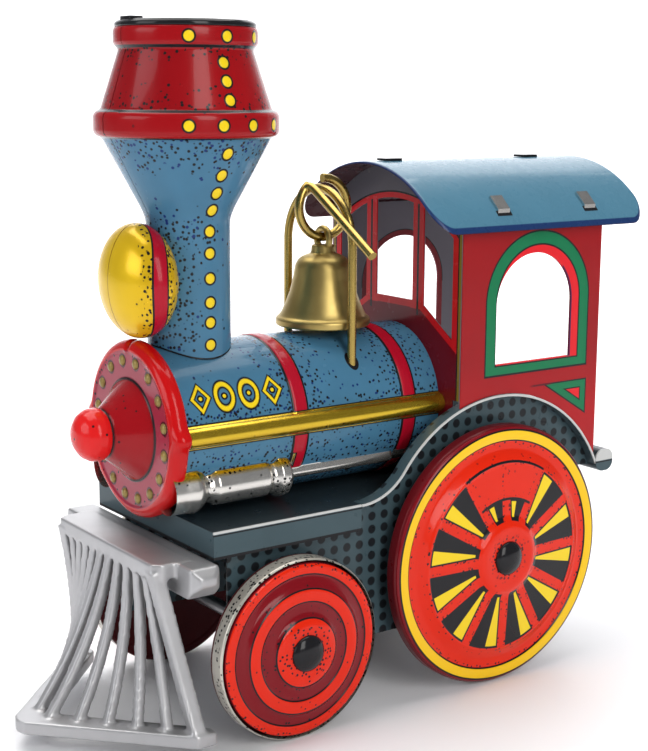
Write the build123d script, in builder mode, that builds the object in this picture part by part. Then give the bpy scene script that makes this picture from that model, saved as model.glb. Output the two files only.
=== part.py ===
from build123d import *
import os
from math import asin, cos, pi, radians, sin, sqrt

# Printed tin toy locomotive with a friction drive. Millimetres.
# -Y is forwards, +X is the locomotive's left, +Z is up, and Z = 0 is the floor.

os.makedirs("parts", exist_ok=True)

# ---------------------------------------------------------------- driving dimensions
TIN = 0.5                   # sheet thickness
AXLE_R = 1.5
BEARING_R = 1.56            # running hole for an axle

NOSE_Y = -74.87             # tip of the pilot
TAIL_Y = 74.87              # rear edge of the roof

BOILER_R = 16.8
BOILER_Z = 62.8
BOILER_FRONT_Y = -44.6      # rear edge of the smokebox rim
BOILER_REAR_Y = 20.46
RAIL_Z = 63.5
RAIL_X = 16.7
RAIL_R = 2.2

RIM_R = 18.1
RIM_FACE_Y = -47.9

STACK_Y = -33.5
NECK_R = 8.7
STACK_TOP_Z = 144.6

LAMP_Y = -45.35
LAMP_Z = 93.4
LAMP_R = 11.7
LAMP_DEPTH = 6.8            # half of the headlamp's thickness

BAIL_Y = -0.4
BAIL_HALF = 12.2
BAIL_TOP_Z = 110.6          # centre of the wire at the top
WIRE_R = 1.0
RING_R = 6.4
BELL_Y = 0.6
BELL_MOUTH_Z = 80.6
BELL_MOUTH_R = 10.3

CAB_HALF = 23.94
CAB_REAR_Y = 62.08
ROOF_R = 32.45              # outside of the barrel roof
ROOF_CENTRE_Z = 83.55
ROOF_HALF = 26.38
ROOF_FRONT_Y = 11.54
TAB_YS = (31.8, 57.9)

DECK_Z = 46.0
DECK_HALF = 24.5
DECK_FRONT_Y = -42.77
BOARD_REAR_Y = -6.5
FLANGE_DEPTH = 5.7
PLATE_X = 21.2              # inner face of a side plate
FENDER_Y = 31.98
FENDER_Z = 31.2
FENDER_R = 33.9
FENDER_FILLET_R = 14.0
PLATE_BOTTOM_Z = 15.3

REAR_AXLE = (29.29, 29.57)  # (Y, Z)
FRONT_AXLE = (-24.70, 19.19)
WHEEL_INNER_X = 24.9
REAR_FACE_X = 28.3
FRONT_FACE_X = 28.7
REAR_DISH = 3.0             # how far a hub stands out from its rim
FRONT_DISH = 2.4
HUB_TUBE_R = 4.5
DISH_STEPS = ((0.81, 0.0), (0.737, 0.4), (0.29, 0.8), (0.25, 1.0))  # (share of radius, share of dish)
CAP_R = 3.9
CAP_HEIGHT = 1.6

MODULE = 1.0
DRIVE_TEETH = 28
IDLER_PINION_TEETH = 10
IDLER_TEETH = 22
FLY_PINION_TEETH = 8
MESH_SLACK = 0.12           # added to each centre distance
MOTOR_X = 11.0              # inner face of a motor plate
MOTOR_TIN = 0.8

OVERSIZE = 200.0            # larger than the toy, for cutting


# ---------------------------------------------------------------- helpers
def across(y):
    """Plane at a given Y whose local axes are X and Z, facing forwards."""
    return Plane(origin=(0, y, 0), x_dir=(1, 0, 0), z_dir=(0, -1, 0))


def beside(x):
    """Plane at a given X whose local axes are Y and Z, facing left."""
    return Plane(origin=(x, 0, 0), x_dir=(0, 1, 0), z_dir=(1, 0, 0))


def save(builder, name):
    builder.part.label = name
    export_step(builder.part, "parts/" + name + ".step")


def axial(y, z):
    """Plane through a wheel's axle whose local axes are X and the radius."""
    return Plane(origin=(0, y, z), x_dir=(1, 0, 0), z_dir=(0, 0, 1))


def turned(points, y, z):
    """Turn a profile of (x, radius) points about the axle at (y, z)."""
    with BuildPart() as piece:
        with BuildSketch(axial(y, z)):
            with BuildLine():
                Polyline(*points, close=True)
            make_face()
        revolve(axis=Axis((0, y, z), (1, 0, 0)))
    return piece


def dome_middle(apex, base, rim_r):
    """Halfway point of a spherical dome's outline, as (axial, radius)."""
    height = abs(base - apex)
    sphere_r = (rim_r ** 2 + height ** 2) / (2 * height)
    half = asin(rim_r / sphere_r) / 2
    towards_base = 1 if base > apex else -1
    return apex + towards_base * sphere_r * (1 - cos(half)), sphere_r * sin(half)


def half_ellipse(depth, radius, steps=12):
    """Points of the upper half of an ellipse, as (axial, radius), from front to rear."""
    return [(-depth * cos(pi * i / steps), radius * sin(pi * i / steps)) for i in range(steps + 1)]


def roof_z(x, inset=0.0):
    """Height of the barrel roof's outside, less an inset, at a given X."""
    return ROOF_CENTRE_Z + sqrt((ROOF_R - inset) ** 2 - x ** 2)


SIDES = ((1, "left"), (-1, "right"))

# ---------------------------------------------------------------- boiler
# One rolled sheet with a half-round rail pressed out along each side, and the
# steam cylinder pressed out low on each side.
CYL_X = 13.4
CYL_Z = 52.2
CYL_PROFILE = (
    (-44.6, 0), (-44.6, 4.6), (-41.6, 4.9), (-40.2, 4.2), (-39.0, 3.0), (-37.6, 3.3),
    (-36.6, 4.0), (-24.6, 4.0), (-23.4, 3.4), (-22.6, 3.6), (-21.6, 4.6), (-19.6, 4.4),
    (-18.2, 3.0), (-18.0, 1.2), (9.0, 1.2), (9.0, 0),
)
with BuildPart() as boiler_shell:
    with BuildSketch(across(BOILER_REAR_Y)):
        with Locations((0, BOILER_Z)):
            Circle(BOILER_R)
    extrude(amount=BOILER_REAR_Y - RIM_FACE_Y - TIN)
    with BuildSketch(across(BOILER_REAR_Y)):
        with Locations((RAIL_X, RAIL_Z), (-RAIL_X, RAIL_Z)):
            Circle(RAIL_R)
    extrude(amount=BOILER_REAR_Y - BOILER_FRONT_Y)
    for side, _ in SIDES:
        with BuildSketch(Plane(origin=(side * CYL_X, 0, CYL_Z), x_dir=(0, 1, 0), z_dir=(1, 0, 0))):
            with BuildLine():
                Polyline(*CYL_PROFILE, close=True)
            make_face()
        revolve(axis=Axis((side * CYL_X, 0, CYL_Z), (0, 1, 0)))
    with BuildSketch(across(BOILER_REAR_Y)):
        with Locations((0, BOILER_Z)):
            Circle(BOILER_R - TIN)
        with Locations((RAIL_X, RAIL_Z), (-RAIL_X, RAIL_Z)):
            Circle(RAIL_R - TIN)
    extrude(amount=OVERSIZE, mode=Mode.SUBTRACT)
    with BuildSketch(Plane.XY.offset(BOILER_Z)):
        with Locations((BAIL_HALF, BAIL_Y), (-BAIL_HALF, BAIL_Y)):
            Circle(WIRE_R)
    extrude(amount=BOILER_R, mode=Mode.SUBTRACT)
save(boiler_shell, "boiler_shell")

# ---------------------------------------------------------------- smokebox front
BOLT_COUNT = 16
BOLT_CIRCLE_R = 14.3
with BuildPart() as smokebox_front:
    with BuildSketch(Plane(origin=(0, 0, BOILER_Z), x_dir=(0, 1, 0), z_dir=(1, 0, 0))):
        with BuildLine():
            rim = Polyline((BOILER_FRONT_Y, RIM_R - TIN), (BOILER_FRONT_Y, RIM_R), (-46.9, RIM_R))
            edge = Spline(rim @ 1, (-47.6, 17.8), (RIM_FACE_Y, 17.0))
            face = Line(edge @ 1, (RIM_FACE_Y, 12.2))
            cone = Spline(face @ 1, (-49.0, 9.6), (-51.4, 7.2), (-54.0, 5.1))
            knob = Spline(cone @ 1, (-55.6, 5.3), (-58.6, 4.4), (-60.4, 0.0))
            back = Line(knob @ 1, (-59.8, 0.0))
            inner_knob = Spline(back @ 1, (-58.2, 3.9), (-55.4, 4.8), (-53.8, 4.5))
            inner_cone = Spline(inner_knob @ 1, (-51.1, 6.7), (-48.7, 9.2), (-47.4, 12.0))
            Polyline(inner_cone @ 1, (-47.4, RIM_R - TIN), (BOILER_FRONT_Y, RIM_R - TIN))
        make_face()
    revolve(axis=Axis((0, 0, BOILER_Z), (0, 1, 0)))
    with BuildSketch(across(RIM_FACE_Y)):
        with Locations((0, BOILER_Z)):
            with PolarLocations(BOLT_CIRCLE_R, BOLT_COUNT, start_angle=11.25):
                Circle(1.1)
    extrude(amount=0.5)
save(smokebox_front, "smokebox_front")

# ---------------------------------------------------------------- chimney
# Two stamped halves that meet in the plane X = 0, closed by a black cap. The
# headlamp is a lens-shaped bulge, pressed half from each.
STACK_OUTER = (
    (NECK_R, 72.0), (NECK_R, 105.4), (9.5, 107.4), (17.0, 121.0), (18.6, 121.6), (18.9, 124.0),
    (18.6, 126.6), (17.3, 127.4), (13.5, 139.4), (14.4, 140.2), (14.5, 143.4), (13.9, STACK_TOP_Z),
)
with BuildPart() as stack:
    with BuildSketch(Plane(origin=(0, STACK_Y, 0), x_dir=(1, 0, 0), z_dir=(0, -1, 0))):
        with BuildLine():
            Polyline(*STACK_OUTER, *[(r - TIN, z) for r, z in reversed(STACK_OUTER)], close=True)
        make_face()
    revolve(axis=Axis((0, STACK_Y, 0), (0, 0, 1)))
    with BuildSketch(across(OVERSIZE)):
        with Locations((0, BOILER_Z)):
            Circle(BOILER_R)
    extrude(amount=2 * OVERSIZE, mode=Mode.SUBTRACT)
with BuildPart() as lamp:
    with BuildSketch(Plane(origin=(0, LAMP_Y, LAMP_Z), x_dir=(0, 1, 0), z_dir=(1, 0, 0))):
        with BuildLine():
            outside = Spline(*half_ellipse(LAMP_DEPTH, LAMP_R), tangents=((0, 1), (0, -1)))
            inside = Spline(*half_ellipse(LAMP_DEPTH - TIN, LAMP_R - TIN), tangents=((0, 1), (0, -1)))
            Line(outside @ 0, inside @ 0)
            Line(outside @ 1, inside @ 1)
        make_face()
    revolve(axis=Axis((0, LAMP_Y, LAMP_Z), (0, 1, 0)))
    with BuildSketch(Plane(origin=(0, STACK_Y, 70), x_dir=(1, 0, 0), z_dir=(0, 0, 1))):
        Circle(NECK_R - TIN / 2)
    extrude(amount=OVERSIZE, mode=Mode.SUBTRACT)
for side, name in SIDES:
    with BuildPart() as stack_half:
        add(stack.part)
        add(lamp.part)
        split(bisect_by=Plane.YZ, keep=Keep.TOP if side > 0 else Keep.BOTTOM)
    save(stack_half, "stack_" + name)

with BuildPart() as stack_cap:
    with BuildSketch(Plane(origin=(0, STACK_Y, STACK_TOP_Z), x_dir=(1, 0, 0), z_dir=(0, 0, 1))):
        Circle(13.9)
    extrude(amount=TIN)
    with BuildSketch(Plane.XY.offset(STACK_TOP_Z + TIN)):
        with Locations((0, STACK_Y - 12.2), (0, STACK_Y + 12.2)):
            RectangleRounded(4.0, 3.0, 0.6)
    extrude(amount=TIN)
save(stack_cap, "stack_cap")

# ---------------------------------------------------------------- bail, ring and bell
BAIL_FOOT_Z = 72.4
BAIL_SPRING_Z = BAIL_TOP_Z - BAIL_HALF
with BuildPart() as bell_bail:
    with BuildLine(across(BAIL_Y)):
        near_leg = Line((BAIL_HALF, BAIL_FOOT_Z), (BAIL_HALF, BAIL_SPRING_Z))
        arch = ThreePointArc(near_leg @ 1, (0, BAIL_TOP_Z), (-BAIL_HALF, BAIL_SPRING_Z))
        Line(arch @ 1, (-BAIL_HALF, BAIL_FOOT_Z))
    with BuildSketch(Plane(origin=(BAIL_HALF, BAIL_Y, BAIL_FOOT_Z), z_dir=(0, 0, 1))):
        Circle(WIRE_R - 0.04)
    sweep()
save(bell_bail, "bell_bail")

RING_Z = BAIL_TOP_Z + 2 * WIRE_R + 0.1 - RING_R
TAIL_ANGLE = 128.0          # where the wire's tail leaves the ring
TAIL_END = (22.0, -2.5, 97.8)
with BuildPart() as bell_ring:
    with BuildLine(beside(0)):
        loop = CenterArc((BELL_Y, RING_Z), RING_R, TAIL_ANGLE, 325)
    with BuildSketch(Plane(origin=loop @ 0, z_dir=loop % 0)):
        Circle(WIRE_R)
    sweep()
    tail_start = loop @ 0
    tail_dir = Vector(*TAIL_END) - tail_start
    with BuildSketch(Plane(origin=tail_start, z_dir=tail_dir)):
        Circle(WIRE_R)
    extrude(amount=tail_dir.length)
save(bell_ring, "bell_ring")

# Turned brass bell, open below, with a crown that the ring passes through.
BELL_OUTER = (
    (BELL_MOUTH_R, BELL_MOUTH_Z), (BELL_MOUTH_R, 82.2), (9.4, 83.0), (8.3, 85.4), (7.3, 88.0),
    (6.6, 91.0), (6.2, 93.6), (5.4, 95.4), (3.6, 96.2), (2.6, 96.4), (2.6, 97.0), (0, 97.0),
)
BELL_INNER = ((0, 94.6), (4.4, 94.4), (5.2, 93.2), (5.8, 90.0), (6.8, 87.0), (8.2, 84.0), (9.3, BELL_MOUTH_Z))
CROWN_HOLE_Z = RING_Z - RING_R - 0.55
with BuildPart() as bell:
    with BuildSketch(Plane(origin=(0, BELL_Y, 0), x_dir=(1, 0, 0), z_dir=(0, -1, 0))):
        with BuildLine():
            Polyline(*BELL_OUTER, *BELL_INNER, close=True)
        make_face()
    revolve(axis=Axis((0, BELL_Y, 0), (0, 0, 1)))
    with BuildSketch(across(BELL_Y + 1.3)):
        with Locations((0, CROWN_HOLE_Z)):
            Circle(2.75)
        with Locations((0, CROWN_HOLE_Z - 1.5)):
            Rectangle(5.3, 3.0)
        with Locations((0, CROWN_HOLE_Z)):
            Circle(1.75, mode=Mode.SUBTRACT)
    extrude(amount=2.6)
    with BuildSketch(Plane(origin=(0, BELL_Y, 91.9), z_dir=(0, 0, 1))):
        with Locations((1.7, 0), (-1.7, 0)):
            Rectangle(0.8, 1.6)
    extrude(amount=3.0)
    with BuildSketch(beside(2.1)):
        with Locations((BELL_Y, 92.4)):
            Circle(0.5)
    extrude(amount=-4.2)
save(bell, "bell")

with BuildPart() as bell_clapper:
    with BuildSketch(beside(-0.6)):
        with Locations((BELL_Y, 92.4)):
            Circle(1.2)
            Circle(0.56, mode=Mode.SUBTRACT)
    extrude(amount=1.2)
    with BuildSketch(Plane(origin=(0, BELL_Y, 91.4), z_dir=(0, 0, 1))):
        Circle(0.45)
    extrude(amount=-7.0)
    with Locations((0, BELL_Y, 83.6)):
        Sphere(1.9)
save(bell_clapper, "bell_clapper")

# ---------------------------------------------------------------- cab
WINDOW_FRONT_Y = 30.4
WINDOW_REAR_Y = 52.9
WINDOW_SILL_Z = 72.0
WINDOW_R = (WINDOW_REAR_Y - WINDOW_FRONT_Y) / 2
WINDOW_SPRING_Z = 96.2 - WINDOW_R
TAB_WIDTH = 3.4
APEX_TAB_LENGTH = 4.5
ROOF_GAP = 0.05             # between the roof and the walls under it
WALL_TOP_Z = roof_z(CAB_HALF, TIN) - ROOF_GAP
WALL_LOW_Z = 46.5
TAB_OUTER = (21.1, 109.05)  # end of a side tab, bent over the roof
TAB_INNER = (20.7, 108.72)
for side, name in SIDES:
    with BuildPart() as cab_side:
        with BuildSketch(beside(side * CAB_HALF)):
            with BuildLine():
                Polyline(
                    (BOILER_REAR_Y, WALL_LOW_Z), (CAB_REAR_Y, WALL_LOW_Z), (CAB_REAR_Y, WALL_TOP_Z),
                    (BOILER_REAR_Y, WALL_TOP_Z), close=True)
            make_face()
            with Locations((FENDER_Y, FENDER_Z)):
                Circle(FENDER_R + ROOF_GAP, mode=Mode.SUBTRACT)
            with Locations(((WINDOW_FRONT_Y + WINDOW_REAR_Y) / 2, WINDOW_SPRING_Z)):
                Circle(WINDOW_R, mode=Mode.SUBTRACT)
            with Locations(((WINDOW_FRONT_Y + WINDOW_REAR_Y) / 2, (WINDOW_SPRING_Z + WINDOW_SILL_Z) / 2)):
                Rectangle(2 * WINDOW_R, WINDOW_SPRING_Z - WINDOW_SILL_Z, mode=Mode.SUBTRACT)
        extrude(amount=-side * TIN)
        for tab_y in TAB_YS:
            with BuildSketch(across(tab_y + TAB_WIDTH / 2)):
                with BuildLine():
                    Polyline(
                        (side * (CAB_HALF - TIN), WALL_TOP_Z - 0.5), (side * CAB_HALF, WALL_TOP_Z - 0.5),
                        (side * CAB_HALF, 106.3), (side * TAB_OUTER[0], TAB_OUTER[1]),
                        (side * TAB_INNER[0], TAB_INNER[1]), (side * (CAB_HALF - TIN), 106.15), close=True)
                make_face()
            extrude(amount=TAB_WIDTH)
    save(cab_side, "cab_side_" + name)


def apex_tab(wall_y):
    """Tab of an end wall that passes through the roof and lies forwards on it."""
    tab_low = ROOF_CENTRE_Z + ROOF_R + ROOF_GAP
    with BuildPart() as tab:
        with BuildSketch(Plane.XY.offset(tab_low)):
            with Locations((0, wall_y + TIN - APEX_TAB_LENGTH / 2)):
                Rectangle(TAB_WIDTH, APEX_TAB_LENGTH)
        extrude(amount=TIN)
        with BuildSketch(Plane.XY.offset(tab_low - 2 * TIN)):
            with Locations((0, wall_y + TIN / 2)):
                Rectangle(TAB_WIDTH, TIN)
        extrude(amount=2 * TIN)
    return tab.part


POST_INNER_X = 6.7          # centre window's half width
POST_OUTER_X = 10.4
SIDE_WINDOW_X = 20.6
FRONT_ARCH_R = 31.7         # top of the three front windows
FRONT_ARCH_Z = 76.0
with BuildPart() as cab_front:
    with BuildSketch(across(BOILER_REAR_Y + TIN)):
        with Locations((0, ROOF_CENTRE_Z)):
            Circle(ROOF_R - TIN - ROOF_GAP)
        with Locations((0, (DECK_Z + 100.0) / 2)):
            Rectangle(2 * (CAB_HALF - TIN), 100.0 - DECK_Z)
        with Locations((0, OVERSIZE / 2 + DECK_Z)):
            Rectangle(2 * (CAB_HALF - TIN), OVERSIZE, mode=Mode.INTERSECT)
        for side, _ in SIDES:
            with Locations((side * (PLATE_X + 5.0), 52.0)):
                Rectangle(10.1, 25.4, mode=Mode.SUBTRACT)
    extrude(amount=TIN)
    with BuildSketch(across(BOILER_REAR_Y + TIN)):
        with BuildLine():
            Polyline((-POST_INNER_X, 85.2), (POST_INNER_X, 85.2), (POST_INNER_X, 120), (-POST_INNER_X, 120), close=True)
        make_face()
        for side, _ in SIDES:
            with BuildLine():
                Polyline(
                    (side * POST_OUTER_X, 84.4), (side * SIDE_WINDOW_X, 77.8), (side * SIDE_WINDOW_X, 120),
                    (side * POST_OUTER_X, 120), close=True)
            make_face()
        with Locations((0, FRONT_ARCH_Z)):
            Circle(FRONT_ARCH_R, mode=Mode.INTERSECT)
    extrude(amount=TIN, mode=Mode.SUBTRACT)
    add(apex_tab(BOILER_REAR_Y))
save(cab_front, "cab_front")

# Arched header across the open back of the cab.
HEADER_LOW_Z = 98.0
HEADER_ARCH_R = FRONT_ARCH_R - 4.0
with BuildPart() as cab_rear:
    with BuildSketch(across(CAB_REAR_Y)):
        with Locations((0, ROOF_CENTRE_Z)):
            Circle(ROOF_R - TIN - ROOF_GAP)
        with Locations((0, HEADER_LOW_Z + OVERSIZE / 2)):
            Rectangle(2 * (CAB_HALF - TIN), OVERSIZE, mode=Mode.INTERSECT)
        with Locations((0, FRONT_ARCH_Z)):
            Circle(HEADER_ARCH_R, mode=Mode.SUBTRACT)
    extrude(amount=TIN)
    add(apex_tab(CAB_REAR_Y - TIN))
save(cab_rear, "cab_rear")

ROOF_CORNER_R = 5.0
ROOF_MIDDLE_Y = (ROOF_FRONT_Y + TAIL_Y) / 2
with BuildPart() as roof:
    with BuildSketch(across(TAIL_Y)):
        with Locations((0, ROOF_CENTRE_Z)):
            Circle(ROOF_R)
            Circle(ROOF_R - TIN, mode=Mode.SUBTRACT)
    extrude(amount=TAIL_Y - ROOF_FRONT_Y)
    with BuildSketch(Plane(origin=(0, ROOF_MIDDLE_Y, 95), z_dir=(0, 0, 1))):
        RectangleRounded(2 * ROOF_HALF, TAIL_Y - ROOF_FRONT_Y, ROOF_CORNER_R)
    extrude(amount=40, mode=Mode.INTERSECT)
    with BuildSketch(Plane.XY.offset(100)):
        for tab_y in TAB_YS:
            with Locations((CAB_HALF - TIN / 2, tab_y), (TIN / 2 - CAB_HALF, tab_y)):
                Rectangle(TIN + 0.3, TAB_WIDTH + 0.4)
        for wall_y in (BOILER_REAR_Y, CAB_REAR_Y - TIN):
            with Locations((0, wall_y + TIN / 2)):
                Rectangle(TAB_WIDTH + 0.4, TIN + 0.3)
    extrude(amount=20, mode=Mode.SUBTRACT)
save(roof, "roof")

# ---------------------------------------------------------------- chassis
with BuildPart() as chassis_deck:
    with BuildSketch(Plane.XY.offset(DECK_Z - TIN)):
        with Locations((0, (DECK_FRONT_Y + BOARD_REAR_Y) / 2)):
            Rectangle(2 * DECK_HALF, BOARD_REAR_Y - DECK_FRONT_Y)
        with Locations((0, (BOARD_REAR_Y + CAB_REAR_Y) / 2)):
            Rectangle(2 * PLATE_X, CAB_REAR_Y - BOARD_REAR_Y)
    extrude(amount=TIN)
    with BuildSketch(Plane.XY.offset(DECK_Z - FLANGE_DEPTH)):
        for side, _ in SIDES:
            with Locations((side * (DECK_HALF - TIN / 2), (DECK_FRONT_Y + BOARD_REAR_Y) / 2)):
                Rectangle(TIN, BOARD_REAR_Y - DECK_FRONT_Y)
            with Locations((side * (DECK_HALF + PLATE_X + TIN) / 2, BOARD_REAR_Y - TIN / 2)):
                Rectangle(DECK_HALF - PLATE_X - TIN, TIN)
        with Locations((0, DECK_FRONT_Y + TIN / 2)):
            Rectangle(2 * DECK_HALF, TIN)
    extrude(amount=FLANGE_DEPTH)
save(chassis_deck, "chassis_deck")

# A side plate ends at the top in an outward flange, the fender, which sweeps up
# from the running board and over the rear wheel.
FENDER_START_Z = DECK_Z - 0.05
fillet_span = FENDER_R + FENDER_FILLET_R
fillet_rise = FENDER_START_Z + FENDER_FILLET_R - FENDER_Z
fillet_y = FENDER_Y - sqrt(fillet_span ** 2 - fillet_rise ** 2)
fillet_z = FENDER_START_Z + FENDER_FILLET_R
FENDER_END_Y = 62.4


def fender_line(inset):
    """Points of the fender's curve, a distance inside its outer line."""
    outer_r = FENDER_R - inset
    turn_r = FENDER_FILLET_R + inset
    half_turn = asin(fillet_rise / fillet_span)
    start = (fillet_y, fillet_z - turn_r)
    mid_angle = -pi / 2 + (pi / 2 - half_turn) / 2
    first_mid = (fillet_y + turn_r * cos(mid_angle), fillet_z + turn_r * sin(mid_angle))
    meet = (
        FENDER_Y + (fillet_y - FENDER_Y) * outer_r / fillet_span,
        FENDER_Z + fillet_rise * outer_r / fillet_span)
    end = (FENDER_END_Y, FENDER_Z + sqrt(outer_r ** 2 - (FENDER_END_Y - FENDER_Y) ** 2))
    crown = (FENDER_Y, FENDER_Z + outer_r)
    return start, first_mid, meet, crown, end


PLATE_FRONT_Y = -38.0
PLATE_REAR_Y = 50.0
for side, name in SIDES:
    with BuildPart() as side_plate:
        start, first_mid, meet, crown, end = fender_line(0.0)
        with BuildSketch(beside(side * PLATE_X)):
            with BuildLine():
                ThreePointArc(start, first_mid, meet)
                ThreePointArc(meet, crown, end)
                Polyline(
                    end, (FENDER_END_Y, 44.6), (PLATE_REAR_Y, 44.6), (PLATE_REAR_Y, PLATE_BOTTOM_Z),
                    (PLATE_FRONT_Y, PLATE_BOTTOM_Z), (PLATE_FRONT_Y, DECK_Z - TIN - 0.05),
                    (fillet_y, DECK_Z - TIN - 0.05), start)
            make_face()
            with Locations(REAR_AXLE, FRONT_AXLE):
                Circle(BEARING_R, mode=Mode.SUBTRACT)
        extrude(amount=side * TIN)
        low = fender_line(TIN)
        with BuildSketch(beside(side * PLATE_X)):
            with BuildLine():
                ThreePointArc(start, first_mid, meet)
                ThreePointArc(meet, crown, end)
                Line(end, low[4])
                ThreePointArc(low[4], low[3], low[2])
                ThreePointArc(low[2], low[1], low[0])
                Line(low[0], start)
            make_face()
        extrude(amount=side * (DECK_HALF - PLATE_X))
    save(side_plate, "side_plate_" + name)

BEAM_REAR_Y = 68.1
with BuildPart() as rear_beam:
    with BuildSketch(beside(-DECK_HALF)):
        with Locations(((CAB_REAR_Y + TIN + BEAM_REAR_Y) / 2, 45.6)):
            RectangleRounded(BEAM_REAR_Y - CAB_REAR_Y - TIN, 5.2, 2.2)
    extrude(amount=2 * DECK_HALF)
    with BuildSketch(beside(TIN - DECK_HALF)):
        with Locations(((CAB_REAR_Y + TIN + BEAM_REAR_Y) / 2, 45.6)):
            RectangleRounded(BEAM_REAR_Y - CAB_REAR_Y - 3 * TIN, 4.2, 1.7)
        with Locations(((CAB_REAR_Y + TIN + BEAM_REAR_Y) / 2, 44.0)):
            Rectangle(2.4, 3.0)
    extrude(amount=2 * (DECK_HALF - TIN), mode=Mode.SUBTRACT)
save(rear_beam, "rear_beam")

HITCH_Y = 71.0
HITCH_R = 1.6
with BuildPart() as coupling_tab:
    with BuildSketch(Plane.XY.offset(42.0)):
        with Locations((0, (60.0 + HITCH_Y) / 2)):
            Rectangle(7.2, HITCH_Y - 60.0)
        with Locations((0, HITCH_Y)):
            Circle(3.6)
            Circle(HITCH_R, mode=Mode.SUBTRACT)
    extrude(amount=1.0)
save(coupling_tab, "coupling_tab")

# ---------------------------------------------------------------- pilot casting
BUMPER_HALF = 28.5
BUMPER_Y = -46.2
BUMPER_DEPTH = 6.6
BUMPER_TOP_Z = 40.2
BUMPER_LOW_Z = 33.8
BUMPER_END_CHAMFER = 1.6
BUMPER_LOW_CHAMFER = 3.0
BUMPER_TOP_CHAMFER = 1.8
SHELF_HALF = 21.5           # plate in front of the bumper that carries the slats
SHELF_FRONT_Y = -54.6
SHELF_CORNER = (1.5, 2.0)
SHELF_DEPTH = 3.2
BASE_TOP_Z = 6.2
BASE_LOW_Z = 3.4
BASE_CORNER = (28.4, -46.6)
BASE_BAR = 6.6              # front to rear at the nose
BASE_END_X = 25.4
NOSE_FLAT = (2.2, 0.7)
SLAT_COUNT = 12
SLAT_WIDTH = 2.1
SLAT_DEPTH = 2.0
OUTER_SLAT_WIDTH = 3.0
OUTER_SLAT_DEPTH = 3.0
SLAT_FOOT_X = 26.6
SLAT_TOP_X = 19.6
SLAT_TOP_Y = -53.4
SLAT_HOLLOW = 1.6           # how far a slat bows in from the straight line
with BuildPart() as pilot:
    with BuildSketch(Plane.XY.offset(BUMPER_LOW_Z)):
        with Locations((0, BUMPER_Y)):
            Rectangle(2 * BUMPER_HALF, BUMPER_DEPTH)
    extrude(amount=BUMPER_TOP_Z - BUMPER_LOW_Z)
    chamfer(pilot.edges().filter_by(Axis.Z), length=BUMPER_END_CHAMFER)
    low_face = pilot.faces().sort_by(Axis.Z)[0]
    chamfer(low_face.edges().filter_by(Axis.Y), length=BUMPER_LOW_CHAMFER)
    top_face = pilot.faces().sort_by(Axis.Z)[-1]
    chamfer(top_face.edges().filter_by(Axis.Y), length=BUMPER_TOP_CHAMFER)
    shelf_side_y = SHELF_FRONT_Y + SHELF_CORNER[1]
    shelf_front_x = SHELF_HALF - SHELF_CORNER[0]
    with BuildSketch(Plane.XY.offset(BUMPER_TOP_Z - SHELF_DEPTH + 0.2)):
        with BuildLine():
            Polyline((-SHELF_HALF, BUMPER_Y), (SHELF_HALF, BUMPER_Y), (SHELF_HALF, shelf_side_y),
                     (shelf_front_x, SHELF_FRONT_Y), (-shelf_front_x, SHELF_FRONT_Y),
                     (-SHELF_HALF, shelf_side_y), close=True)
        make_face()
    extrude(amount=SHELF_DEPTH)
    base_x, base_y = BASE_CORNER
    with BuildSketch(Plane.XY.offset(BASE_LOW_Z)):
        for side, _ in SIDES:
            with BuildLine():
                Polyline(
                    (0, NOSE_Y), (side * NOSE_FLAT[0], NOSE_Y + NOSE_FLAT[1]), (side * base_x, base_y - 2.4),
                    (side * base_x, base_y + 2.0), (side * BASE_END_X, base_y + 2.0),
                    (0, NOSE_Y + BASE_BAR), close=True)
            make_face()
    extrude(amount=BASE_TOP_Z - BASE_LOW_Z)
    for index in range(SLAT_COUNT):
        share = (2 * index + 1 - SLAT_COUNT) / (SLAT_COUNT - 1)
        is_outer = index in (0, SLAT_COUNT - 1)
        foot_y = NOSE_Y + BASE_BAR / 2 + abs(share) * (base_y - NOSE_Y - 4.6)
        foot = Vector(share * SLAT_FOOT_X, foot_y, BASE_TOP_Z - 1.2)
        head = Vector(share * SLAT_TOP_X, SLAT_TOP_Y, BUMPER_TOP_Z - 1.4)
        bow = Vector(-share, SLAT_HOLLOW * (1.0 - 0.5 * abs(share)), -SLAT_HOLLOW)
        with BuildLine():
            slat_path = ThreePointArc(head, (foot + head) * 0.5 + bow, foot)
        with BuildSketch(Plane(origin=head, x_dir=(1, 0, 0), z_dir=slat_path % 0)):
            if is_outer:
                Rectangle(OUTER_SLAT_WIDTH, OUTER_SLAT_DEPTH)
            else:
                Rectangle(SLAT_WIDTH, SLAT_DEPTH)
        sweep(path=slat_path)
    split(bisect_by=Plane.XY.offset(BUMPER_TOP_Z + 0.2), keep=Keep.BOTTOM)
save(pilot, "pilot")


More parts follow.
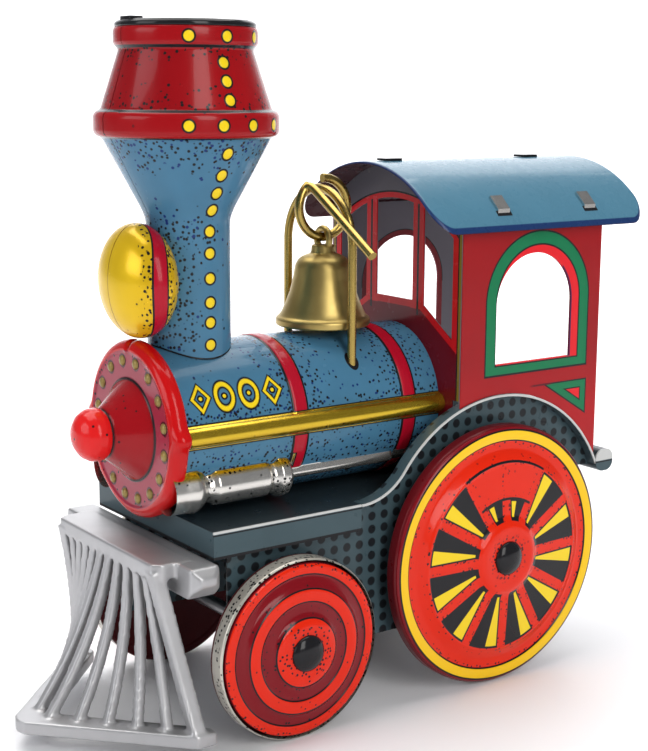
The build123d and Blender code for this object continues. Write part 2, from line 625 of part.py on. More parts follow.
# ---------------------------------------------------------------- wheels
def wheel_nodes(prefix, axle, face_x, dish):
    """Drum, printed face and axle cap, on each side of one wheelset."""
    y, z = axle
    tyre_r = z
    face_r = tyre_r - TIN - 0.08
    hub_x = face_x + dish
    steps = [(face_x + rise * dish, share * tyre_r) for share, rise in DISH_STEPS]
    for side, name in SIDES:
        drum = turned([
            (side * WHEEL_INNER_X, AXLE_R), (side * WHEEL_INNER_X, tyre_r), (side * (face_x - 0.2), tyre_r),
            (side * (face_x - 0.2), tyre_r - TIN), (side * (WHEEL_INNER_X + TIN), tyre_r - TIN),
            (side * (WHEEL_INNER_X + TIN), AXLE_R)], y, z)
        save(drum, prefix + "_wheel_drum_" + name)
        inside = [(side * (x - TIN), radius) for x, radius in reversed(steps)]
        outside = [(side * x, radius) for x, radius in steps]
        disc = turned([
            (side * (WHEEL_INNER_X + TIN), AXLE_R), (side * (WHEEL_INNER_X + TIN), HUB_TUBE_R),
            (side * (hub_x - TIN), HUB_TUBE_R), *inside, (side * (face_x - TIN), face_r),
            (side * face_x, face_r), *outside, (side * hub_x, AXLE_R)], y, z)
        save(disc, prefix + "_wheel_face_" + name)
        with BuildPart() as cap:
            with BuildSketch(axial(y, z)):
                with BuildLine():
                    tip_x = side * (hub_x + CAP_HEIGHT)
                    ThreePointArc(
                        (side * hub_x, CAP_R), dome_middle(tip_x, side * hub_x, CAP_R), (tip_x, 0))
                    Polyline((tip_x, 0), (side * hub_x, 0), (side * hub_x, CAP_R))
                make_face()
            revolve(axis=Axis((0, y, z), (1, 0, 0)))
        save(cap, prefix + "_axle_cap_" + name)
    axle_rod = turned([(-hub_x, 0), (-hub_x, AXLE_R), (hub_x, AXLE_R), (hub_x, 0)], y, z)
    save(axle_rod, prefix + "_axle")


wheel_nodes("rear", REAR_AXLE, REAR_FACE_X, REAR_DISH)
wheel_nodes("front", FRONT_AXLE, FRONT_FACE_X, FRONT_DISH)

# ---------------------------------------------------------------- friction drive
# Rear axle -> drive gear -> idler pinion and idler gear -> flywheel pinion.
first_span = MODULE * (DRIVE_TEETH + IDLER_PINION_TEETH) / 2 + MESH_SLACK
second_span = MODULE * (IDLER_TEETH + FLY_PINION_TEETH) / 2 + MESH_SLACK
FIRST_ANGLE = radians(170.0)
SECOND_ANGLE = radians(174.0)
idler = (REAR_AXLE[0] + first_span * cos(FIRST_ANGLE), REAR_AXLE[1] + first_span * sin(FIRST_ANGLE))
flywheel_axis = (idler[0] + second_span * cos(SECOND_ANGLE), idler[1] + second_span * sin(SECOND_ANGLE))


def gear(centre, teeth, aim, low_x, width, bore_r):
    """Spur gear whose first tooth points along the angle aim, in radians."""
    pitch_r = MODULE * teeth / 2
    root_r = pitch_r - 1.2 * MODULE
    tip_r = pitch_r + 0.85 * MODULE
    step = 2 * pi / teeth
    outline = []
    for tooth in range(teeth):
        middle = aim + tooth * step
        for share, radius in ((-0.27, root_r), (-0.19, pitch_r), (-0.09, tip_r),
                              (0.09, tip_r), (0.19, pitch_r), (0.27, root_r)):
            angle = middle + share * step
            outline.append((centre[0] + radius * cos(angle), centre[1] + radius * sin(angle)))
    with BuildPart() as wheel:
        with BuildSketch(beside(low_x)):
            with BuildLine():
                Polyline(*outline, close=True)
            make_face()
            with Locations(centre):
                Circle(bore_r, mode=Mode.SUBTRACT)
        extrude(amount=width)
    return wheel


SHAFT_R = 1.0
save(gear(REAR_AXLE, DRIVE_TEETH, FIRST_ANGLE, 7.0, 2.0, AXLE_R), "drive_gear")
gap_aim = FIRST_ANGLE + pi + pi / IDLER_PINION_TEETH
save(gear(idler, IDLER_PINION_TEETH, gap_aim, 6.8, 2.4, SHAFT_R), "idler_pinion")
save(gear(idler, IDLER_TEETH, SECOND_ANGLE, 3.0, 1.6, SHAFT_R), "idler_gear")
gap_aim = SECOND_ANGLE + pi + pi / FLY_PINION_TEETH
save(gear(flywheel_axis, FLY_PINION_TEETH, gap_aim, 2.8, 2.0, SHAFT_R), "flywheel_pinion")

shaft_half = MOTOR_X + MOTOR_TIN + 0.6
idler_shaft = turned([(-shaft_half, 0), (-shaft_half, SHAFT_R), (shaft_half, SHAFT_R), (shaft_half, 0)], *idler)
save(idler_shaft, "idler_shaft")
fly_shaft = turned(
    [(-shaft_half, 0), (-shaft_half, SHAFT_R), (shaft_half, SHAFT_R), (shaft_half, 0)], *flywheel_axis)
save(fly_shaft, "flywheel_shaft")
flywheel = turned(
    [(-7.5, SHAFT_R), (-7.5, 3.0), (-6.5, 3.0), (-6.5, 10.0), (-1.0, 10.0), (-1.0, 3.0), (0.5, 3.0), (0.5, SHAFT_R)],
    *flywheel_axis)
save(flywheel, "flywheel")

MOTOR_FRONT_Y = -12.0
MOTOR_REAR_Y = 48.5
MOTOR_LOW_Z = 20.0
SPACERS = ((-9.0, 23.0), (46.0, 36.0), (3.0, 21.6))
for side, name in SIDES:
    with BuildPart() as motor_plate:
        with BuildSketch(beside(side * MOTOR_X)):
            with BuildLine():
                Polyline(
                    (MOTOR_FRONT_Y, MOTOR_LOW_Z), (MOTOR_REAR_Y, MOTOR_LOW_Z), (MOTOR_REAR_Y, DECK_Z - TIN),
                    (MOTOR_FRONT_Y, DECK_Z - TIN), close=True)
            make_face()
            with Locations(REAR_AXLE):
                Circle(BEARING_R, mode=Mode.SUBTRACT)
            with Locations(idler, flywheel_axis):
                Circle(SHAFT_R + 0.06, mode=Mode.SUBTRACT)
        extrude(amount=side * MOTOR_TIN)
    save(motor_plate, "motor_plate_" + name)

with BuildPart() as motor_spacers:
    with BuildSketch(beside(-MOTOR_X)):
        with Locations(*SPACERS):
            Circle(1.4)
    extrude(amount=2 * MOTOR_X)
save(motor_spacers, "motor_spacers")
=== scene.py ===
from math import atan2, cos, degrees, exp, hypot, pi, radians, sin, sqrt

import bmesh
import bpy
from mathutils import Matrix, Vector


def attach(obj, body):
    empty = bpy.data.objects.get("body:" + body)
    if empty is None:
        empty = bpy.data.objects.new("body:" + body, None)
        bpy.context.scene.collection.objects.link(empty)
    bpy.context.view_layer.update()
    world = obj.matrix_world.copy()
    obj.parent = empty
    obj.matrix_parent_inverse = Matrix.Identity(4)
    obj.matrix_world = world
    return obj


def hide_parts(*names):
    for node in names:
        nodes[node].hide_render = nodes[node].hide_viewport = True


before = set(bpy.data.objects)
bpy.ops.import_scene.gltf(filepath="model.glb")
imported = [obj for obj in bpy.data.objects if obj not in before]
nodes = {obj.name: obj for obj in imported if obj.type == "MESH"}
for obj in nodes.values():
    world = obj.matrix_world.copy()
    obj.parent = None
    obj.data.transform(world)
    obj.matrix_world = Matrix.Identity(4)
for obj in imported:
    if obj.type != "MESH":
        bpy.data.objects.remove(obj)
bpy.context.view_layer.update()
MM = 0.001
SIDES = ((1, "left"), (-1, "right"))

# ------------------------------------------------------------------ places, in mm, as in the CAD model
BOILER_R, BOILER_Z = 16.8, 62.8
BOILER_FRONT, BOILER_REAR = -47.2, 20.4
RAIL_X, RAIL_Z, RAIL_R = 16.7, 63.5, 2.2
FRONT_BAND, REAR_BAND, BAND_HALF = -16.6, 12.0, 1.75
CYL_X, CYL_Z, CYL_REAR = 13.4, 52.2, -17.6      # pressed steam cylinder
BOLT_COUNT, BOLT_CIRCLE_R, BOLT_FIRST = 16, 14.3, 11.25
STACK_Y, NECK_R = -33.5, 8.7
LAMP_Y, LAMP_Z, LAMP_R, LAMP_DEPTH = -45.35, 93.4, 11.7, 6.8
BAIL_Y, BAIL_HALF, BAIL_TOP = -0.4, 12.2, 110.6
RING_R, RING_Z, BELL_Y = 6.4, 106.3, 0.6
CAB_HALF, CAB_FRONT = 23.94, 20.46
ROOF_R, ROOF_CENTRE, ROOF_HALF = 32.45, 83.55, 26.38
ROOF_FRONT, ROOF_REAR, ROOF_CORNER, ROOF_TIN = 11.54, 74.87, 5.0, 0.5
ROOF_TAB_YS = (31.8, 57.9)
TAB_LOW_Z = 105.15           # the cab sides' tabs are bare tin above this height
WINDOW_Y, SPRING_Z = 42.95, 85.5
OPENING_Y, OPENING_Z = 41.65, 84.95
DECK_Z, DECK_HALF = 46.0, 24.5
PLATE_X = 21.2
REAR_AXLE = (29.29, 29.57)
FRONT_AXLE = (-24.70, 19.19)
REAR_FACE, REAR_DISH, REAR_INNER = 28.3, 3.0, 24.9
FRONT_FACE, FRONT_DISH, FRONT_INNER = 28.9, 2.2, 24.2
WEIGHT_FROM, WEIGHT_TO = 61.0, 119.0              # the rear wheel's balance weight, in degrees

COAT_SHARE = 0.6            # all the lacquers are this much thinner than their own value
DOT_SPREAD = 1.22           # all the ink dots are this much wider than their own radius

# ------------------------------------------------------------------ colours (linear)
BLUE = (0.062, 0.185, 0.30)
DARK_BLUE = (0.01, 0.03, 0.14)
CRIMSON = (0.40, 0.005, 0.02)
RED = (0.52, 0.004, 0.005)
CAB_RED = (0.31, 0.004, 0.007)
DARK_RED = (0.20, 0.004, 0.009)
ORANGE = (0.74, 0.020, 0.003)
YELLOW = (0.86, 0.62, 0.015)
GOLD = (0.62, 0.42, 0.03)
GREEN = (0.004, 0.17, 0.065)
SLATE = (0.055, 0.090, 0.105)
INK = (0.010, 0.010, 0.012)
BRIGHT_RED = (0.72, 0.012, 0.02)
# Bare tin at sheet edges, which is also a painted highlight along the sharp edges.
BARE_EDGE_AND_HIGHLIGHT = (0.55, 0.56, 0.55)
TINPLATE = (0.72, 0.70, 0.66)
SILVER = (0.47, 0.47, 0.48)
BRASS = (0.42, 0.30, 0.085)


# ------------------------------------------------------------------ patterns as formulas
class Field:
    """A number that varies over a surface, so that printed patterns read as formulas."""

    def __init__(self, tree, socket):
        self.tree = tree
        self.socket = socket

    def node(self, operation, *others):
        made = self.tree.nodes.new("ShaderNodeMath")
        made.operation = operation
        for place, value in enumerate((self,) + others):
            if isinstance(value, Field):
                self.tree.links.new(value.socket, made.inputs[place])
            else:
                made.inputs[place].default_value = value
        return Field(self.tree, made.outputs[0])

    def __add__(self, other):
        return self.node("ADD", other)

    def __sub__(self, other):
        return self.node("SUBTRACT", other)

    def __mul__(self, other):
        return self.node("MULTIPLY", other)

    def __truediv__(self, other):
        return self.node("DIVIDE", other)

    def both(self, other):
        return self.node("MULTIPLY", other)

    def either(self, other):
        return self.node("MAXIMUM", other)

    def least(self, other):
        return self.node("MINIMUM", other)

    def inverse(self):
        return self.node("MULTIPLY_ADD", -1.0, 1.0)

    def size(self):
        return self.node("ABSOLUTE")

    def above(self, edge, soft=0.08):
        """1 where the field is above the edge, 0 below it, with a soft step."""
        gap = self - edge
        stepped = gap.node("MULTIPLY_ADD", 1.0 / soft, 0.5)
        stepped.socket.node.use_clamp = True
        return stepped

    def below(self, edge, soft=0.08):
        return self.above(edge, soft).inverse()

    def between(self, low, high, soft=0.08):
        return self.above(low, soft).both(self.below(high, soft))

    def near(self, centre, half, soft=0.08):
        return (self - centre).size().below(half, soft)


class Paint:
    """A material that is built up in layers, the way tinplate is printed."""

    def __init__(self, name, base, rough=0.28, metallic=0.0, coat=0.0, mottle=0.10, dent=0.02, grain=0.0):
        self.material = bpy.data.materials.new(name)
        self.material.use_nodes = True
        self.tree = self.material.node_tree
        self.shader = next(n for n in self.tree.nodes if n.type == "BSDF_PRINCIPLED")
        self.shader.inputs["Metallic"].default_value = metallic
        self.shader.inputs["Coat Weight"].default_value = coat * COAT_SHARE
        self.shader.inputs["Coat Roughness"].default_value = 0.06
        self.shader.inputs["Coat IOR"].default_value = 1.35
        self.shader.inputs["Specular IOR Level"].default_value = 0.13
        coords = self.tree.nodes.new("ShaderNodeTexCoord")
        self.place = self.tree.nodes.new("ShaderNodeVectorMath")
        self.place.operation = "SCALE"
        self.place.inputs["Scale"].default_value = 1000.0
        self.tree.links.new(coords.outputs["Object"], self.place.inputs[0])
        split = self.tree.nodes.new("ShaderNodeSeparateXYZ")
        self.tree.links.new(self.place.outputs[0], split.inputs[0])
        self.x, self.y, self.z = (Field(self.tree, split.outputs[i]) for i in range(3))
        self.colour = None
        self.base = base
        cloud = self.noise(0.09, 4.0)
        darker = tuple(c * (1.0 - 2.2 * mottle) for c in base)
        self.lay(darker, cloud.between(0.5, 2.0, 0.35) * 0.6)
        rough_field = self.noise(0.35, 5.0).node("MULTIPLY_ADD", 0.16, rough - 0.08)
        self.tree.links.new(rough_field.socket, self.shader.inputs["Roughness"])
        bump = self.tree.nodes.new("ShaderNodeBump")
        bump.inputs["Strength"].default_value = 1.0
        bump.inputs["Distance"].default_value = MM
        height = self.noise(0.12, 2.0) * dent + self.noise(3.0, 2.0) * (0.0008 + grain)
        self.tree.links.new(height.socket, bump.inputs["Height"])
        self.tree.links.new(bump.outputs[0], self.shader.inputs["Normal"])
        self.bump = bump
        self.height = height

    def noise(self, per_mm, detail):
        made = self.tree.nodes.new("ShaderNodeTexNoise")
        made.inputs["Scale"].default_value = per_mm
        made.inputs["Detail"].default_value = detail
        self.tree.links.new(self.place.outputs[0], made.inputs["Vector"])
        return Field(self.tree, made.outputs["Fac"])

    def dots(self, spacing, radius, density):
        """Round ink dots, kept where a random number per dot is under the density field."""
        cells = self.tree.nodes.new("ShaderNodeTexVoronoi")
        cells.inputs["Scale"].default_value = 1.0 / spacing
        cells.inputs["Randomness"].default_value = 0.9
        self.tree.links.new(self.place.outputs[0], cells.inputs["Vector"])
        split = self.tree.nodes.new("ShaderNodeSeparateColor")
        self.tree.links.new(cells.outputs["Color"], split.inputs[0])
        chance = Field(self.tree, split.outputs[0])
        distance = Field(self.tree, cells.outputs["Distance"])
        if isinstance(density, Field):
            kept = (density - chance).above(0.0, 0.01)
        else:
            kept = chance.below(density, 0.01)
        return distance.below(radius * DOT_SPREAD / spacing, 0.12 / spacing).both(kept)

    def lay(self, colour, mask):
        mix = self.tree.nodes.new("ShaderNodeMix")
        mix.data_type = "RGBA"
        self.tree.links.new(mask.socket, mix.inputs["Factor"])
        if self.colour is None:
            mix.inputs["A"].default_value = (*self.base, 1.0)
        else:
            self.tree.links.new(self.colour, mix.inputs["A"])
        mix.inputs["B"].default_value = (*colour, 1.0)
        self.colour = mix.outputs["Result"]

    def raise_by(self, mask, height):
        """Press a printed shape up by a height in mm."""
        self.height = self.height + mask * height
        self.tree.links.new(self.height.socket, self.bump.inputs["Height"])

    def metal_where(self, mask):
        self.tree.links.new(mask.socket, self.shader.inputs["Metallic"])

    def done(self):
        self.tree.links.new(self.colour, self.shader.inputs["Base Color"])
        return self.material


def length(first, second):
    return (first.node("POWER", 2.0) + second.node("POWER", 2.0)).node("SQRT")


def polar(across, up):
    """Radius, and angle in degrees from 0 to 360, counterclockwise from the across axis."""
    turn = up.node("ARCTAN2", across) * (180.0 / pi)
    return length(across, up), (turn + 360.0).node("MODULO", 360.0)


def repeated(angle, count, first):
    """Angle in degrees from the nearest of a ring of evenly spaced marks."""
    step = 360.0 / count
    return ((angle - (first - step / 2 - 360.0)).node("MODULO", step)) - step / 2


# ------------------------------------------------------------------ mesh makers
def keep_piece(obj, body, replaced=()):
    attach(obj, body)
    if replaced:
        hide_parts(*replaced)
    return obj


def mesh_object(name, verts, faces, material, sharp=38.0):
    mesh = bpy.data.meshes.new(name)
    mesh.from_pydata([tuple(c * MM for c in v) for v in verts], [], faces)
    work = bmesh.new()
    work.from_mesh(mesh)
    bmesh.ops.remove_doubles(work, verts=work.verts, dist=0.002 * MM)
    bmesh.ops.recalc_face_normals(work, faces=work.faces)
    work.to_mesh(mesh)
    work.free()
    for face in mesh.polygons:
        face.use_smooth = True
    mesh.set_sharp_from_angle(angle=radians(sharp))
    mesh.materials.append(material)
    obj = bpy.data.objects.new(name, mesh)
    bpy.context.collection.objects.link(obj)
    return obj


def eased(points, radius, steps=4):
    """Round the corners of an outline, with a radius that fits its shorter side."""
    made = [points[0]]
    for before, corner, after in zip(points, points[1:], points[2:]):
        a, b, c = Vector(before), Vector(corner), Vector(after)
        reach = min(radius, (a - b).length * 0.45, (c - b).length * 0.45)
        start = b + (a - b).normalized() * reach
        end = b + (c - b).normalized() * reach
        for step in range(steps + 1):
            t = step / steps
            made.append(tuple(start * (1 - t) ** 2 + b * 2 * t * (1 - t) + end * t ** 2))
    made.append(points[-1])
    return made


def lathe(name, outline, centre, axis, material, turns=(0.0, 2 * pi), segments=160, sharp=38.0):
    """Turn an outline of (axial, radius) points about an axis through the centre."""
    frames = {
        "X": (Vector((1, 0, 0)), Vector((0, 1, 0)), Vector((0, 0, 1))),
        "Y": (Vector((0, 1, 0)), Vector((0, 0, 1)), Vector((1, 0, 0))),
        "Z": (Vector((0, 0, 1)), Vector((1, 0, 0)), Vector((0, 1, 0))),
    }
    along, first, second = frames[axis]
    centre = Vector(centre)
    whole = abs(turns[1] - turns[0] - 2 * pi) < 1e-6
    rows = segments if whole else segments + 1
    verts = []
    for row in range(rows):
        angle = turns[0] + (turns[1] - turns[0]) * row / segments
        spoke = first * cos(angle) + second * sin(angle)
        verts += [tuple(centre + along * a + spoke * r) for a, r in outline]
    count = len(outline)
    faces = []
    for row in range(segments):
        here, there = row * count, ((row + 1) % rows) * count
        for i in range(count - 1):
            j = i + 1
            quad = (here + i, here + j, there + j, there + i)
            if outline[i][1] < 1e-6:
                quad = (here + i, here + j, there + j)
            elif outline[j][1] < 1e-6:
                quad = (here + i, here + j, there + i)
            faces.append(quad)
    return mesh_object(name, verts, faces, material, sharp)


def tube(name, points, radius, material, cyclic=False, order=4, kind="POLY"):
    """A wire along a list of points, with rounded section and closed ends."""
    curve = bpy.data.curves.new(name, "CURVE")
    curve.dimensions = "3D"
    curve.bevel_depth = radius * MM
    curve.bevel_resolution = 6
    curve.resolution_u = 16
    curve.use_fill_caps = True
    line = curve.splines.new(kind)
    line.points.add(len(points) - 1)
    for point, place in zip(line.points, points):
        point.co = (*[c * MM for c in place], 1.0)
    line.use_cyclic_u = cyclic
    if kind == "NURBS":
        line.order_u = order
        line.use_endpoint_u = not cyclic
    curve.materials.append(material)
    obj = bpy.data.objects.new(name, curve)
    bpy.context.collection.objects.link(obj)
    return obj


def settle(obj, sharp=38.0):
    """Turn a curve, or a mesh with modifiers, into a plain mesh in the model's frame."""
    graph = bpy.context.evaluated_depsgraph_get()
    mesh = bpy.data.meshes.new_from_object(obj.evaluated_get(graph))
    mesh.transform(obj.matrix_world)
    name = obj.name
    bpy.data.objects.remove(obj)
    mesh.name = name
    for face in mesh.polygons:
        face.use_smooth = True
    mesh.set_sharp_from_angle(angle=radians(sharp))
    made = bpy.data.objects.new(name, mesh)
    bpy.context.collection.objects.link(made)
    return made


def slab(name, low, high, material, edge=0.12):
    """A box of sheet metal with softened edges."""
    work = bmesh.new()
    bmesh.ops.create_cube(work, size=1.0)
    for vert in work.verts:
        vert.co = Vector([(l + h) / 2 + c * (h - l) for l, h, c in zip(low, high, vert.co)]) * MM
    bmesh.ops.bevel(work, geom=work.edges, offset=edge * MM, segments=2, profile=0.6, affect="EDGES")
    mesh = bpy.data.meshes.new(name)
    work.to_mesh(mesh)
    work.free()
    for face in mesh.polygons:
        face.use_smooth = True
    mesh.set_sharp_from_angle(angle=radians(30))
    mesh.materials.append(material)
    obj = bpy.data.objects.new(name, mesh)
    bpy.context.collection.objects.link(obj)
    return obj


def join(name, pieces):
    """One piece from several, keeping each one's materials."""
    with bpy.context.temp_override(active_object=pieces[0], selected_editable_objects=pieces):
        bpy.ops.object.join()
    pieces[0].name = name
    pieces[0].data.name = name
    return pieces[0]


def arc(centre, radius, start, end, steps):
    """Points along an arc, in degrees."""
    span = [radians(start + (end - start) * i / steps) for i in range(steps + 1)]
    return [(centre[0] + radius * cos(a), centre[1] + radius * sin(a)) for a in span]


def dress(material, *names):
    for name in names:
        node = nodes[name]
        if not node.data.materials:
            node.data.materials.append(material)
        for slot in node.material_slots:
            slot.material = material


# ------------------------------------------------------------------ paints
def boiler_paint():
    p = Paint("boiler_litho", BLUE, coat=0.5, rough=0.24)
    band = (p.y - FRONT_BAND).size().least((p.y - REAR_BAND).size())
    side = p.x.size()
    rail = length(side - RAIL_X, p.z - RAIL_Z)
    rho, turn = polar(side, p.z - BOILER_Z)
    shade = band.below(7.0, 9.0).either(rail.below(5.0, 5.0)).either(p.z.below(58.0, 9.0))
    p.lay(DARK_BLUE, p.dots(0.85, 0.23, shade * 0.25 + 0.02))
    p.lay(INK, p.dots(0.80, 0.25, shade * 0.50 + 0.02))
    p.lay(INK, band.below(2.05))
    p.lay(CRIMSON, band.below(1.55))
    # Four pressed ornaments: lozenge, ring, ring, lozenge.
    around = (turn - 28.5) * (BOILER_R * pi / 180.0)
    gold = None
    for place, kind in ((-39.7, "lozenge"), (-34.1, "ring"), (-28.3, "ring"), (-22.6, "lozenge")):
        along = (p.y - place) / 2.45
        up = around / 3.3
        if kind == "ring":
            reach = length(along, up)
        else:
            reach = along.size() + up.size()
        stroke = (reach - 0.80).size()
        outline = stroke.below(0.30, 0.08)
        pip = length(p.y - place, around)
        p.lay(INK, outline.either(pip.below(0.80)))
        core = stroke.below(0.165, 0.07).either(pip.below(0.42))
        p.lay(YELLOW, core)
        gold = core if gold is None else gold.either(core)
    p.raise_by(gold, 0.30)
    # Gold rail, bare tin cylinder with a gold top, and painted shade for the hole round each leg of the
    # bail.
    p.lay(INK, rail.below(2.62))
    lacquer = rail.below(2.36)
    p.lay(GOLD, lacquer)
    p.lay(INK, lacquer.both(p.dots(1.3, 0.2, p.z.below(63.0, 1.6) * 0.35 + 0.08)))
    rod = length(side - CYL_X, p.z - CYL_Z)
    raised = rho.above(BOILER_R + 0.22, 0.12).both(rod.below(5.3))
    ahead = p.y.below(CYL_REAR)
    piston_rod = rod.below(1.5).both(rho.above(BOILER_R + 0.05, 0.06))
    cylinder = raised.both(ahead).either(piston_rod)
    edge = rho.above(BOILER_R + 0.08, 0.06).both(rod.below(5.6)).both(p.y.below(-17.2))
    p.lay(INK, edge)
    p.lay(TINPLATE, cylinder)
    p.lay(GOLD, cylinder.both(p.z.above(54.9, 0.8)).both(ahead))
    necks = p.y.near(-39.0, 1.2, 2.0) * 0.3 + p.y.near(-21.0, 2.0, 2.0) * 0.3
    crowd = p.z.above(54.6, 2.0) * 0.4 + necks + 0.03
    p.lay(INK, cylinder.both(ahead).both(p.dots(0.8, 0.27, crowd)))
    # Black round each leg of the bail: painted shade standing for the hole.
    leg_hole_shade = length(side - BAIL_HALF, p.y - BAIL_Y)
    p.lay(INK, leg_hole_shade.below(1.55))
    p.metal_where(lacquer.both(p.z.above(60.0)).either(cylinder) * 0.92)
    return p.done()


def smokebox_paint():
    p = Paint("smokebox_litho", RED, coat=0.7, rough=0.22, mottle=0.05)
    rho, turn = polar(p.x, p.z - BOILER_Z)
    face = rho.below(16.4).both(p.y.below(-47.2))
    p.lay((0.33, 0.028, 0.055), face)
    p.lay(INK, face.both(p.dots(0.8, 0.24, rho.above(14.9, 2.0) * 0.3 + 0.01)))
    aside = repeated(turn, BOLT_COUNT, BOLT_FIRST) * (BOLT_CIRCLE_R * pi / 180.0)
    p.lay(INK, face.both(length(aside, rho - BOLT_CIRCLE_R).below(1.5, 0.2)) * 0.8)
    cone = rho.below(10.5).both(p.y.above(-54.2))
    p.lay((0.30, 0.004, 0.008), cone)
    p.lay(INK, cone.both(p.dots(1.1, 0.22, p.y.below(-50.5, 3.0) * 0.35)))
    p.lay(INK, rho.near(10.6, 0.28, 0.3))
    p.lay(INK, p.y.near(-54.2, 0.3, 0.3).both(rho.below(8.0)))
    knob = p.y.below(-54.3)
    p.lay((0.66, 0.012, 0.012), knob)
    p.lay(INK, knob.both(p.dots(1.3, 0.22, 0.15)))
    return p.done()


RIVET_HEIGHTS = (80.3, 84.9, 89.0, 93.9, 99.0, 103.4, 107.7, 111.2, 114.8, 119.1, 129.4, 133.0, 136.6)


def stack_paint():
    p = Paint("stack_litho", BLUE, coat=0.5, rough=0.24)
    rho = length(p.x, p.y - STACK_Y)
    foot = length(p.x, p.z - BOILER_Z)
    nearest = None
    for height in RIVET_HEIGHTS:
        gap = (p.z - height).size()
        nearest = gap if nearest is None else nearest.least(gap)
    rivet = length(nearest, p.y - STACK_Y)
    ahead = (p.y - STACK_Y) * -1.0
    shade = p.z.above(118.0, 8.0).either(p.z.near(104.5, 0.5, 9.0).both(ahead.above(-2.0, 6.0)))
    side_shade = ahead.above(2.6, 2.5).both(p.z.below(105.0, 4.0))
    p.lay(INK, p.dots(0.78, 0.26, shade * 0.55 + side_shade * 0.5 + 0.015))
    p.lay(DARK_BLUE, p.dots(0.9, 0.28, shade * 0.25 + 0.02))
    p.lay(INK, p.z.above(121.9, 0.1))
    red = p.z.above(122.2, 0.1)
    p.lay(CAB_RED, red)
    ends = p.z.below(130.4, 5.0).either(p.z.above(137.6, 4.0))
    ends = ends.both(p.z.between(127.0, 139.6, 0.3))
    cone = p.z.between(127.2, 139.4, 0.3)
    p.lay((0.22, 0.003, 0.006), cone.both((p.y - STACK_Y).size().above(8.0, 8.0)) * 0.7)
    p.lay(INK, red.both(p.dots(0.78, 0.26, ends * 0.5 + 0.01)))
    p.lay(INK, p.z.near(127.3, 0.25).either(p.z.near(139.7, 0.3)))
    spread = (p.y - STACK_Y).node("ARCTAN2", p.x.size()) * (180.0 / pi)
    for height, places in ((124.6, (-29, -8, 13, 36)), (141.6, (-28, 3, 38))):
        for place in places:
            aside = (spread - place).both(rho) * (pi / 180.0)
            rivet = rivet.least(length(aside, p.z - height))
    p.lay(INK, rivet.below(1.42, 0.12))
    p.lay(YELLOW, rivet.below(1.02, 0.12))
    p.raise_by(rivet.below(1.0, 0.7), 0.25)
    p.lay(INK, foot.below(BOILER_R + 0.42, 0.1).both(p.z.below(82.0)))
    return p.done()


def lamp_paint():
    p = Paint("lamp_litho", (0.78, 0.52, 0.012), coat=0.4, rough=0.24, mottle=0.08)
    up = (p.z - LAMP_Z) / 11.5
    bow = up.node("POWER", 2.0) * 2.9 - 46.4
    off = p.y - bow
    near = off.size()
    neck = length(p.x, p.y - STACK_Y)
    p.lay((0.62, 0.36, 0.01), p.y.above(-51.0, 5.0) * 0.5)
    p.lay(INK, p.dots(0.8, 0.27, near.below(3.0, 2.0) * 0.75 + off.above(1.0) * 0.2 + 0.003))
    p.lay(INK, near.below(1.65))
    p.lay(CRIMSON, near.below(1.3))
    p.lay(INK, neck.below(NECK_R + 0.4, 0.15))
    p.lay((0.30, 0.18, 0.01), p.x.size().below(0.14, 0.06) * 0.8)
    p.metal_where(near.above(1.6) * 0.3)
    return p.done()


def roof_paint():
    p = Paint("roof_litho", (0.068, 0.185, 0.27), coat=0.6, rough=0.28, mottle=0.04, dent=0.004)
    across = p.x.size() - (ROOF_HALF - ROOF_CORNER)
    along = (p.y - (ROOF_FRONT + ROOF_REAR) / 2).size() - ((ROOF_REAR - ROOF_FRONT) / 2 - ROOF_CORNER)
    corner = length(across.either(across * 0.0), along.either(along * 0.0))
    corner = corner + across.either(along).least(across * 0.0)
    p.lay((0.012, 0.035, 0.12), corner.above(4.6, 0.12))
    for tab in ROOF_TAB_YS:
        p.lay(INK, (p.y - tab).size().below(2.1).both(p.x.size().between(23.5, 24.5)))
    radius = length(p.x, p.z - ROOF_CENTRE)
    # Underside painted dark maroon: painted shade, with a painted reflection of the red front wall.
    p.lay((0.05, 0.012, 0.018), radius.below(ROOF_R - 0.45, 0.03))
    return p.done()


